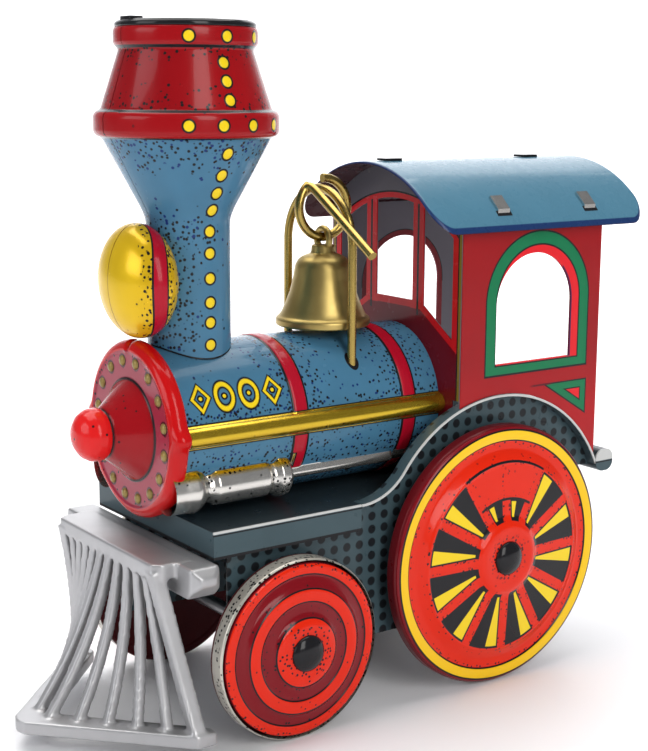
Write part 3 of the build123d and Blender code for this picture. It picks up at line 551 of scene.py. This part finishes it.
def cab_side_paint():
    p = Paint("cab_side_litho", CAB_RED, coat=0.6, rough=0.22, mottle=0.06)
    side = p.x.size()
    reach = length(p.y - WINDOW_Y, (p.z - SPRING_Z).either(p.z * 0.0))
    p.lay((0.56, 0.006, 0.010), p.z.below(66.0, 14.0) * 0.4)
    # Darker near the top: painted shade under the roof's overhang.
    p.lay(DARK_RED, p.z.above(101.5, 3.0) * 0.55)
    p.lay(INK, reach.below(15.75).both(p.z.above(69.15)))
    p.lay(GREEN, reach.below(15.35).both(p.z.above(69.6)))
    p.lay(INK, reach.below(12.75).both(p.z.above(71.35)))
    p.lay(BRIGHT_RED, reach.below(12.35).both(p.z.above(71.7)))
    # Green bracket with a red middle under the window's rear corner.
    slant = (p.y - 46.3) * 0.52 + (p.z - 65.6) * 0.854
    top = (p.z - 65.75) * -1.0
    rear = (p.y - 58.45) * -1.0
    inside = top.least(rear).least(slant)
    p.lay(INK, inside.above(-0.35, 0.08))
    p.lay(GREEN, inside.above(0.0, 0.08))
    p.lay(INK, inside.above(1.5, 0.08))
    p.lay(BRIGHT_RED, inside.above(1.8, 0.08))
    opening = length(p.y - OPENING_Y, (p.z - OPENING_Z).either(p.z * 0.0))
    rear_edge = p.y.above(50.0).both(p.z.above(71.8))
    p.lay((0.10, 0.015, 0.06), opening.between(10.5, 11.6).both(rear_edge))
    tip_line = p.z.near(65.9, 0.22, 0.2)
    p.lay((0.10, 0.004, 0.01), tip_line.both(p.y.between(41.5, 47.5, 1.5)))
    inner = side.below(CAB_HALF - 0.2, 0.02)
    p.lay((0.17, 0.155, 0.185), inner)
    p.lay((0.24, 0.006, 0.014), inner.both(opening.below(12.7)).both(p.z.above(70.4)))
    p.lay(INK, inner.both(opening.near(12.7, 0.12)).both(p.z.above(84.0)))
    p.lay(TINPLATE, p.z.above(TAB_LOW_Z, 0.05))
    p.metal_where(p.z.above(TAB_LOW_Z, 0.05))
    return p.done()


def cab_front_paint():
    p = Paint("cab_front_litho", (0.14, 0.004, 0.01), coat=0.5, rough=0.25, mottle=0.08)
    side = p.x.size()
    bright = (0.50, 0.010, 0.014)
    arch = length(side, p.z - 76.0)
    sill = p.z + (side - 10.4) * 0.647
    posts = side.between(6.0, 10.9).both(p.z.above(83.4))
    outer = side.above(20.3).both(p.z.above(76.9))
    frames = posts.either(outer).either(arch.above(31.2)).both(p.z.above(76.4))
    middle_sill = p.z.near(84.5, 0.95).both(side.below(8.0))
    sills = middle_sill.either(sill.near(83.7, 0.95).both(side.above(9.4)))
    p.lay(bright, frames.either(sills))
    p.lay(INK, side.near(8.55, 0.35).both(p.z.above(82.0)).both(arch.below(32.0)))
    p.lay((0.10, 0.095, 0.115), arch.above(33.1, 0.1).both(p.z.above(98.0)))
    p.lay(INK, arch.near(33.1, 0.2).both(p.z.above(98.0)))
    p.lay(INK, side.above(22.3))
    p.lay((0.20, 0.14, 0.02), side.above(22.7))
    p.lay((0.16, 0.15, 0.175), p.y.above(CAB_FRONT + 0.3, 0.02))
    p.lay(INK, p.z.above(115.98, 0.02))
    return p.done()


def slate_paint(name, dotted):
    p = Paint(name, SLATE, coat=0.35, rough=0.30, mottle=0.08)
    if dotted:
        row_step, dot_step = 2.9, 3.3
        row = (p.z / row_step).node("FLOOR")
        across = (p.y + 100.0 * dot_step).node("MODULO", dot_step) - dot_step / 2
        up = p.z - row * row_step - row_step / 2
        p.lay(INK, length(across, up).below(0.98, 0.25) * 0.94)
        p.lay(SLATE, p.x.size().above(PLATE_X + 0.9, 0.05))
        # Outer edge of the plate: bare tin, partly a painted highlight along the edge.
        p.lay(BARE_EDGE_AND_HIGHLIGHT, p.x.size().above(DECK_HALF - 0.28, 0.04))
    else:
        # Top outer edges of the deck: bare tin, partly a painted highlight along the edge.
        edge = p.x.size().above(DECK_HALF - 0.35, 0.1).both(p.z.above(DECK_Z - 0.45, 0.1))
        p.lay(BARE_EDGE_AND_HIGHLIGHT, edge)
        top = p.z.above(DECK_Z - 0.12, 0.04)
        p.lay((0.022, 0.032, 0.038), top.both(p.x.size().below(DECK_HALF - 0.45, 0.1)))
        p.lay(INK, p.z.between(DECK_Z - 6.0, DECK_Z - 5.1))
        lip = (p.z - DECK_Z + 0.75).size().below(0.14, 0.08)
        p.lay(INK, lip.both(p.x.size().above(DECK_HALF - 0.35, 0.1)))
    return p.done()


def rear_wheel_paint(sign, name):
    p = Paint(name, ORANGE, coat=0.6, rough=0.22, mottle=0.04)
    rho, turn = polar((p.y - REAR_AXLE[0]) * sign, p.z - REAR_AXLE[1])
    spoke = repeated(turn, 12, 0.0)
    reach = (spoke.size() * (pi / 180.0)).both(rho)
    sector = turn.between(WEIGHT_FROM, WEIGHT_TO, 0.3)
    weight = sector.both(rho.above(13.4))
    window = reach.above(1.15, 0.12).both(rho.between(8.4, 21.2)).both(weight.inverse())
    ring_shade = rho.near(23.8, 0.0, 7.0)
    spoke_shade = reach.below(1.2).both(rho.between(8.5, 21.0))
    p.lay((0.45, 0.012, 0.004), p.dots(0.9, 0.24, ring_shade * 0.12 + 0.02))
    edges = rho.near(21.9, 0.3, 1.6) * 0.4 + rho.near(25.7, 0.3, 1.4) * 0.5
    p.lay(INK, p.dots(0.72, 0.22, edges))
    p.lay(INK, spoke_shade.both(reach.above(0.6, 0.5)).both(p.dots(0.7, 0.22, 0.5)))
    p.lay(INK, window)
    ahead = spoke.below(0.0, 0.05).both(spoke.above(-13.2, 0.2))
    wedge = ahead.both(reach.above(1.55, 0.12)).both(rho.between(9.2, 20.7))
    p.lay(YELLOW, wedge.both(sector.both(rho.above(12.7)).inverse()))
    arcs = rho.near(21.6, 0.28).either(rho.near(13.3, 0.3))
    p.lay(INK, arcs.both(turn.between(WEIGHT_FROM - 3.0, WEIGHT_TO + 3.0, 1.0)))
    p.lay(INK, rho.near(14.2, 0.6, 1.2).both(weight).both(p.dots(0.72, 0.22, 0.5)))
    p.lay(INK, rho.above(25.95, 0.08))
    p.lay((0.90, 0.56, 0.01), rho.between(26.3, 28.35, 0.08))
    p.lay(DARK_RED, rho.above(28.75, 0.08))
    p.lay(INK, rho.below(5.2, 1.6).both(p.dots(0.72, 0.24, 0.6)))
    return p.done()


def front_wheel_paint():
    p = Paint("front_wheel_litho", ORANGE, coat=0.6, rough=0.22, mottle=0.04)
    rho, _ = polar(p.y - FRONT_AXLE[0], p.z - FRONT_AXLE[1])
    p.lay(DARK_RED, rho.between(7.3, 10.5).either(rho.between(13.2, 16.0)))
    p.lay(INK, rho.between(7.3, 10.5).both(p.dots(0.72, 0.22, 0.2)))
    for radius in (7.3, 10.5, 13.2, 16.0):
        p.lay(INK, rho.near(radius, 0.16))
    p.lay(INK, rho.between(3.6, 7.3).both(p.dots(0.72, 0.22, rho.below(5.0, 2.0) * 0.5 + 0.08)))
    crowd = rho.above(17.6, 1.5) * 0.5 + 0.03
    p.lay(INK, rho.between(10.7, 18.2).both(p.dots(0.72, 0.22, crowd)))
    p.lay(DARK_RED, rho.above(18.15, 0.1))
    return p.done()


def tyre_paint():
    p = Paint("tyre_litho", (0.62, 0.59, 0.52), metallic=0.55, rough=0.30, mottle=0.15)
    side = p.x.size()
    p.lay(INK, p.dots(0.75, 0.25, side.between(26.0, 28.4, 1.0) * 0.55 + 0.05))
    p.lay((0.075, 0.008, 0.010), side.below(25.3))
    p.metal_where(side.above(25.3) * 0.5)
    return p.done()


def plain(name, colour, rough, **finish):
    return Paint(name, colour, rough=rough, **finish).done()


boiler_litho = boiler_paint()
smokebox_litho = smokebox_paint()
stack_litho = stack_paint()
lamp_litho = lamp_paint()
roof_litho = roof_paint()
cab_side_litho = cab_side_paint()
cab_front_litho = cab_front_paint()
plate_litho = slate_paint("plate_litho", True)
deck_litho = slate_paint("deck_litho", False)
wheel_left_litho = rear_wheel_paint(1, "rear_wheel_litho_left")
wheel_right_litho = rear_wheel_paint(-1, "rear_wheel_litho_right")
front_wheel_litho = front_wheel_paint()
tyre_litho = tyre_paint()
maroon = plain("maroon_enamel", (0.13, 0.006, 0.010), 0.3, coat=0.4)
bolt_gold = plain("bolt_gold", (0.30, 0.22, 0.07), 0.32, metallic=0.3, coat=0.4)
black_enamel = plain("black_enamel", (0.012, 0.012, 0.014), 0.16, coat=0.6)
silver_paint = plain("silver_casting", SILVER, 0.42, metallic=0.72, mottle=0.08, dent=0.10, grain=0.010)
brass = plain("drawn_brass", BRASS, 0.27, metallic=1.0, mottle=0.16, dent=0.03)
bell_brass = plain("turned_brass", (0.47, 0.35, 0.12), 0.40, metallic=1.0, mottle=0.16, dent=0.02)
tin = plain("bare_tin", TINPLATE, 0.3, metallic=1.0)
steel = plain("plain_steel", (0.42, 0.42, 0.43), 0.32, metallic=1.0)
gear_brass = plain("stamped_brass", (0.48, 0.33, 0.10), 0.36, metallic=1.0)

# ------------------------------------------------------------------ CAD pieces that are shown as they are
dress(cab_side_litho, "cab_side_left", "cab_side_right")
dress(cab_front_litho, "cab_front", "cab_rear")
dress(plate_litho, "side_plate_left", "side_plate_right")
dress(deck_litho, "chassis_deck", "rear_beam", "coupling_tab")
dress(steel, "rear_axle", "front_axle", "idler_shaft", "flywheel_shaft", "flywheel", "motor_spacers")
dress(gear_brass, "drive_gear", "idler_pinion", "idler_gear", "flywheel_pinion")
dress(tin, "motor_plate_left", "motor_plate_right")
dress(brass, "bell_clapper")

# ------------------------------------------------------------------ boiler
CYLINDER = ((-44.6, 4.6), (-41.6, 4.9), (-40.2, 4.2), (-39.0, 3.0), (-37.6, 3.3), (-36.6, 4.0),
            (-24.6, 4.0), (-23.4, 3.4), (-22.6, 3.6), (-21.6, 4.6), (-19.6, 4.4), (-18.2, 3.0),
            (-17.6, 1.25), (9.0, 1.2), (9.3, 0.2))


def stepped(points, place):
    """Height of a polyline at a place, level beyond its ends."""
    if place <= points[0][0]:
        return points[0][1]
    for (a, low), (b, high) in zip(points, points[1:]):
        if place <= b:
            return low + (high - low) * (place - a) / (b - a)
    return points[-1][1]


def blended_max(a, b, width):
    share = min(max(0.5 + 0.5 * (a - b) / width, 0.0), 1.0)
    return b + (a - b) * share + width * share * (1.0 - share)


def boiler_radius(angle, y):
    ray = (cos(angle), sin(angle))
    band = min(abs(y - FRONT_BAND), abs(y - REAR_BAND))
    radius = BOILER_R + 0.32 * min(max((BAND_HALF - band) / 0.5, 0.0), 1.0)
    for side, _ in SIDES:
        rail = (RAIL_X, RAIL_Z - BOILER_Z, RAIL_R)
        cylinder = (CYL_X, CYL_Z - BOILER_Z, stepped(CYLINDER, y))
        for cx, cz, r in (rail, cylinder):
            along = side * cx * ray[0] + cz * ray[1]
            inside = along ** 2 - (cx ** 2 + cz ** 2 - r ** 2)
            if along > 0 and inside > 0:
                radius = blended_max(radius, along + sqrt(inside), 0.35)
    return radius


def make_boiler():
    rows = [BOILER_FRONT + 0.3 * i for i in range(100)]
    while rows[-1] < BOILER_REAR - 0.5:
        rows.append(rows[-1] + 0.5)
    rows.append(BOILER_REAR)
    columns = 400
    verts = []
    for y in rows:
        for i in range(columns):
            angle = 2 * pi * i / columns
            radius = boiler_radius(angle, y)
            verts.append((radius * cos(angle), y, BOILER_Z + radius * sin(angle)))
    faces = []
    for j in range(len(rows) - 1):
        for i in range(columns):
            k = (i + 1) % columns
            faces.append((j * columns + i, j * columns + k, (j + 1) * columns + k, (j + 1) * columns + i))
    return mesh_object("boiler_looks", verts, faces, boiler_litho, 60.0)


keep_piece(make_boiler(), "loco", ("boiler_shell",))

# ------------------------------------------------------------------ smokebox front
SMOKEBOX = [(-44.0, 17.2), (-44.4, 18.0), (-45.1, 18.55), (-46.5, 18.5), (-47.5, 17.9), (-48.0, 16.9),
            (-48.0, 16.3), (-47.75, 15.8), (-47.7, 10.9), (-47.9, 10.4), (-49.0, 9.4), (-50.4, 8.2),
            (-52.2, 6.6), (-53.7, 5.4), (-54.15, 4.75), (-54.5, 5.15), (-55.4, 5.5), (-57.2, 5.35),
            (-58.8, 4.45), (-59.9, 2.9), (-60.35, 1.3), (-60.4, 0.0)]
smokebox = lathe("smokebox_looks", eased(SMOKEBOX, 0.5), (0, 0, BOILER_Z), "Y", smokebox_litho, segments=256)
for vert in smokebox.data.vertices:
    x, z = vert.co.x / MM, vert.co.z / MM - BOILER_Z
    rho = sqrt(x * x + z * z)
    if rho > 15.5:
        turn = degrees(atan2(z, abs(x)))
        swell = 1.5 * exp(-((turn - 2.5) / 5.5) ** 2) + 0.5 * exp(-((turn + 38.0) / 9.0) ** 2)
        notch = 0.9 if abs(degrees(atan2(z, x)) - 92.0) < 2.6 else 0.0
        grown = 1.0 + (swell - notch) * min((rho - 15.5) / 2.0, 1.0) / rho
        vert.co.x *= grown
        vert.co.z = (BOILER_Z + z * grown) * MM
bolts = []
for count in range(BOLT_COUNT):
    angle = radians(BOLT_FIRST + 360.0 / BOLT_COUNT * count)
    centre = (BOLT_CIRCLE_R * cos(angle), -47.7, BOILER_Z + BOLT_CIRCLE_R * sin(angle))
    dome = [(0.1, 1.1), (-0.15, 1.08), (-0.4, 0.85), (-0.58, 0.45), (-0.62, 0.0)]
    bolts.append(lathe(f"bolt_{count}", dome, centre, "Y", bolt_gold, segments=24, sharp=80))
keep_piece(join("smokebox_looks", [smokebox] + bolts), "loco", ("smokebox_front",))

# ------------------------------------------------------------------ chimney and headlamp
STACK = [(72.0, 8.7), (77.0, 8.7), (78.6, 8.7), (80.2, 8.7), (105.2, 8.7), (107.4, 9.5), (121.9, 17.3),
         (122.3, 18.4), (123.1, 18.9), (126.2, 18.9), (127.1, 18.4), (127.5, 17.4), (139.2, 13.6),
         (139.9, 14.2), (140.5, 14.6), (142.8, 14.6), (143.6, 14.3), (143.8, 13.6)]

STACK_SEAM, LAMP_SEAM = 0.006, 0.008     # half of the open seam, in radians


def make_stack(side, name):
    start = -pi / 2 if side > 0 else pi / 2
    turns = (start + STACK_SEAM, start + pi - STACK_SEAM)
    half = lathe(name, eased(STACK, 0.9), (0, STACK_Y, 0), "Z", stack_litho, turns, 110)
    for vert in half.data.vertices:
        x = min(abs(vert.co.x / MM), BOILER_R)
        saddle = BOILER_Z + sqrt((BOILER_R + 0.12) ** 2 - x ** 2)
        if vert.co.z / MM < saddle:
            vert.co.z = saddle * MM
    lens = [(-LAMP_DEPTH * cos(pi * i / 64), LAMP_R * sin(pi * i / 64)) for i in range(65)]
    start = 0.0 if side > 0 else pi
    turns = (start + LAMP_SEAM, start + pi - LAMP_SEAM)
    lamp = lathe(name + "_lamp", lens, (0, LAMP_Y, LAMP_Z), "Y", lamp_litho, turns, 96)
    return join(name, [half, lamp])


for side, name in SIDES:
    keep_piece(make_stack(side, "stack_looks_" + name), "loco", ("stack_" + name,))

CAP = [(143.5, 13.9), (143.7, 14.35), (144.4, 14.3), (145.0, 13.6), (144.95, 12.6), (144.7, 11.4),
       (144.6, 0.0)]
cap = lathe("cap_disc", eased(CAP, 0.3), (0, STACK_Y, 0), "Z", black_enamel, segments=128)
tabs = [slab(f"cap_tab_{i}", (-2.0, y - 1.5, 144.6), (2.0, y + 1.5, 145.55), black_enamel, 0.2)
        for i, y in enumerate((STACK_Y - 12.2, STACK_Y + 12.2))]
keep_piece(join("stack_cap_looks", [cap] + tabs), "loco", ("stack_cap",))

# ------------------------------------------------------------------ bail, ring and bell
legs = [(BAIL_HALF, BAIL_Y, 72.4), (BAIL_HALF, BAIL_Y, 86.0)]
arch = [(x, BAIL_Y, z) for x, z in arc((0, BAIL_TOP - BAIL_HALF), BAIL_HALF, 0, 180, 48)]
bail = tube("bail_looks", legs + arch + [(-x, y, z) for x, y, z in reversed(legs)], 0.96, brass)
keep_piece(bail, "loco", ("bell_bail",))
loop = [(0, y, z) for y, z in arc((BELL_Y, RING_Z), RING_R, 128, 128 + 325, 72)]
ring = settle(tube("ring_loop", loop, 1.0, brass))
tail_points = [(0.0, -4.3, 110.2), (0.4, -3.7, 111.0), (1.6, -3.4, 110.9), (6.0, -3.1, 108.0),
               (14.0, -2.8, 102.9), (22.0, -2.5, 97.8)]
tail = settle(tube("ring_tail", tail_points, 1.0, brass, order=3, kind="NURBS"))
keep_piece(join("ring_looks", [ring, tail]), "ring", ("bell_ring",))
BELL = [(94.6, 0.0), (94.4, 4.4), (93.2, 5.2), (90.0, 5.8), (87.0, 6.8), (84.0, 8.2), (80.8, 9.3),
        (80.55, 9.6), (80.6, 10.2), (80.9, 10.4), (82.0, 10.4), (82.4, 10.1), (82.8, 9.6), (83.6, 9.1),
        (85.4, 8.3), (88.0, 7.3), (91.0, 6.6), (93.6, 6.2), (94.7, 5.7), (95.5, 4.9), (96.1, 3.6),
        (96.4, 2.7), (97.9, 2.55), (98.2, 2.3), (98.3, 0.0)]
body = lathe("bell_body", eased(BELL, 0.5), (0, BELL_Y, 0), "Z", bell_brass, segments=192, sharp=50)
eye_points = [(x, BELL_Y, z) for x, z in arc((0, 99.4), 2.3, 0, 350, 40)]
eye = settle(tube("bell_eye", eye_points, 0.75, bell_brass, True))
keep_piece(join("bell_looks", [body, eye]), "bell", ("bell",))


# ------------------------------------------------------------------ roof
def make_roof():
    corner, thick = ROOF_CORNER, ROOF_TIN
    ends = [0.0, 0.05, 0.15, 0.3, 0.5, 0.75, 1.2, 2.0, 3.0, 4.0, 5.0]
    middle_y, half_y = (ROOF_FRONT + ROOF_REAR) / 2, (ROOF_REAR - ROOF_FRONT) / 2
    rows = ends + [corner + i * (2 * half_y - 2 * corner) / 24 for i in range(1, 24)]
    rows += [2 * half_y - e for e in reversed(ends)]
    shares = [d / ROOF_HALF for d in ends[:-2]]
    steps = 60
    shares = [-1 + s for s in shares] + [-0.87 + 1.74 * i / steps for i in range(steps + 1)] + \
        [1 - s for s in reversed(shares)]
    verts, faces = [], []
    for layer in (0, 1):
        for row in rows:
            off = min(row, 2 * half_y - row)
            half = ROOF_HALF
            if off < corner:
                half = ROOF_HALF - corner + sqrt(corner ** 2 - (corner - off) ** 2)
            for share in shares:
                x, y = half * share, ROOF_FRONT + row
                qx, qy = abs(x) - (ROOF_HALF - corner), abs(y - middle_y) - (half_y - corner)
                outward = hypot(max(qx, 0), max(qy, 0)) + min(max(qx, qy), 0)
                inset = corner - outward
                drop = thick
                if layer == 0:
                    near = max(thick - inset, 0.0)
                    drop = thick - sqrt(max(thick ** 2 - near ** 2, 0.0))
                radius = ROOF_R - drop
                verts.append((x, y, ROOF_CENTRE + sqrt(radius ** 2 - x ** 2)))
    wide, deep = len(shares), len(rows)
    size = wide * deep
    for j in range(deep - 1):
        for i in range(wide - 1):
            quad = (j * wide + i, j * wide + i + 1, (j + 1) * wide + i + 1, (j + 1) * wide + i)
            faces.append(quad)
            faces.append(tuple(size + v for v in reversed(quad)))
    return mesh_object("roof_looks", verts, faces, roof_litho, 50.0)


keep_piece(make_roof(), "loco", ("roof",))


# ------------------------------------------------------------------ wheels
def make_wheels(prefix, axle, tyre, face, face_x, dish, inner, face_paints, drum_paint):
    for side, name in SIDES:
        centre = (0, axle[0], axle[1])
        body = prefix + "_wheelset"
        outline = [(side * x, r) for x, r in eased(face, 0.5)]
        disc = lathe(f"{prefix}_face_looks_{name}", outline, centre, "X", face_paints[name],
                     segments=256, sharp=60)
        keep_piece(disc, body, (f"{prefix}_wheel_face_{name}",))
        section = [(inner + 0.3, 1.6), (inner + 0.3, tyre - 2.2), (inner, tyre - 1.6), (inner, tyre - 0.5),
                   (inner + 0.5, tyre), (face_x - 0.6, tyre), (face_x - 0.2, tyre - 0.35)]
        rim = [(side * x, r) for x, r in eased(section, 0.3)]
        drum = lathe(f"{prefix}_drum_looks_{name}", rim, centre, "X", drum_paint, segments=256, sharp=50)
        keep_piece(drum, body, (f"{prefix}_wheel_drum_{name}",))
        nut = [(side * (face_x + dish + out), r) for out, r in NUT]
        cap = lathe(f"{prefix}_cap_looks_{name}", nut, centre, "X", black_enamel, segments=64, sharp=80)
        keep_piece(cap, body, (f"{prefix}_axle_cap_{name}",))


NUT = ((-0.2, 3.8), (0.2, 3.85), (0.6, 3.6), (1.05, 2.9), (1.4, 1.9), (1.55, 1.0), (1.6, 0.0))
REAR_PROFILE = [(27.9, 29.2), (28.35, 29.2), (28.75, 28.7), (28.85, 27.6), (28.7, 26.4), (28.3, 25.9),
                (28.35, 23.9), (29.3, 22.1), (29.75, 21.5), (29.6, 20.9), (30.35, 9.4), (30.7, 8.6),
                (31.35, 7.6), (31.5, 6.6), (31.4, 5.4), (31.3, 4.4), (31.3, 2.0)]
FRONT_PROFILE = [(28.0, 18.3), (28.6, 18.3), (29.0, 17.9), (29.1, 17.2), (29.0, 16.2), (28.75, 15.7),
                 (29.2, 14.0), (29.95, 13.2), (30.1, 12.3), (30.0, 10.8), (29.7, 10.2), (30.05, 7.9),
                 (30.75, 7.1), (31.15, 5.6), (31.1, 4.2), (31.1, 2.0)]
make_wheels("rear", REAR_AXLE, REAR_AXLE[1], REAR_PROFILE, REAR_FACE, REAR_DISH, REAR_INNER,
            {"left": wheel_left_litho, "right": wheel_right_litho}, maroon)
make_wheels("front", FRONT_AXLE, FRONT_AXLE[1], FRONT_PROFILE, FRONT_FACE, FRONT_DISH, FRONT_INNER,
            {"left": front_wheel_litho, "right": front_wheel_litho}, tyre_litho)

# ------------------------------------------------------------------ pilot, with the soft edges of a casting
casting = bpy.data.objects.new("pilot_looks", nodes["pilot"].data.copy())
bpy.context.collection.objects.link(casting)
casting.data.materials.clear()
casting.data.materials.append(silver_paint)
remesh = casting.modifiers.new("skin", "REMESH")
remesh.mode = "VOXEL"
remesh.voxel_size = 0.36 * MM
remesh.use_smooth_shade = True
relax = casting.modifiers.new("relax", "SMOOTH")
relax.factor = 0.6
relax.iterations = 5
bpy.context.view_layer.update()
casting = settle(casting, 70.0)
casting.data.materials.clear()
casting.data.materials.append(silver_paint)
keep_piece(casting, "loco", ("pilot",))

# ------------------------------------------------------------------ floor, light and camera
view_out = Vector((-0.8147, 0.5799, 0.0))
view_across = Vector((0.5799, 0.8147, 0.0))


def make_backdrop():
    path = [(-2.0, 0.0), (0.5, 0.0), (1.1, 0.0)]
    path += [(1.1 + 0.7 * sin(a), 0.7 - 0.7 * cos(a)) for a in (radians(5 * i) for i in range(1, 19))]
    path.append((1.8, 2.6))
    verts = []
    for out, up in path:
        for aside in (-3.0, 3.0):
            place = view_out * out + view_across * aside
            verts.append((place.x / MM, place.y / MM, up / MM))
    faces = [(2 * i, 2 * i + 1, 2 * i + 3, 2 * i + 2) for i in range(len(path) - 1)]
    paper = plain("backdrop_paper", (0.86, 0.86, 0.88), 0.6, mottle=0.0, dent=0.0)
    return mesh_object("backdrop", verts, faces, paper)


make_backdrop()

world = bpy.data.worlds.new("studio")
bpy.context.scene.world = world
world.use_nodes = True
sky = next(n for n in world.node_tree.nodes if n.type == "BACKGROUND")
sky.inputs["Color"].default_value = (0.93, 0.95, 1.0, 1.0)
sky.inputs["Strength"].default_value = 0.20


def softbox(name, place, aim, size, power, colour=(1.0, 1.0, 1.0)):
    light = bpy.data.lights.new(name, "AREA")
    light.shape = "RECTANGLE"
    light.size, light.size_y = size
    light.energy = power
    light.color = colour
    obj = bpy.data.objects.new(name, light)
    bpy.context.collection.objects.link(obj)
    obj.location = place
    obj.rotation_euler = (Vector(place) - Vector(aim)).to_track_quat("Z", "Y").to_euler()
    return obj


softbox("top_light", (-0.30, 0.10, 1.15), (0, 0, 0.05), (1.3, 1.1), 17.0, (1.0, 0.99, 0.97))
softbox("window_light", (1.05, -0.12, 0.62), (0, 0, 0.08), (0.45, 0.95), 8.0, (1.0, 0.99, 0.97))
softbox("fill_light", (-0.15, -1.15, 0.50), (0, 0, 0.07), (0.7, 0.6), 4.5, (0.96, 0.97, 1.0))
softbox("paper_light", (-0.9, 0.7, 1.1), (-1.5, 1.05, 0.3), (1.8, 1.4), 26.0)

camera_data = bpy.data.cameras.new("camera")
camera_data.lens = 71.80
camera_data.sensor_width = 36.0
camera_data.clip_start = 0.01
camera = bpy.data.objects.new("camera", camera_data)
bpy.context.collection.objects.link(camera)
right, up, back = (0.57909, 0.81525, 0.0053), (-0.1568, 0.10499, 0.98203), (0.80004, -0.56952, 0.18863)
camera.matrix_world = Matrix((
    (right[0], up[0], back[0], 0.26726),
    (right[1], up[1], back[1], -0.18923),
    (right[2], up[2], back[2], 0.13191),
    (0.0, 0.0, 0.0, 1.0)))
bpy.context.scene.camera = camera
bpy.context.scene.view_settings.view_transform = "Standard"

bpy.context.view_layer.update()
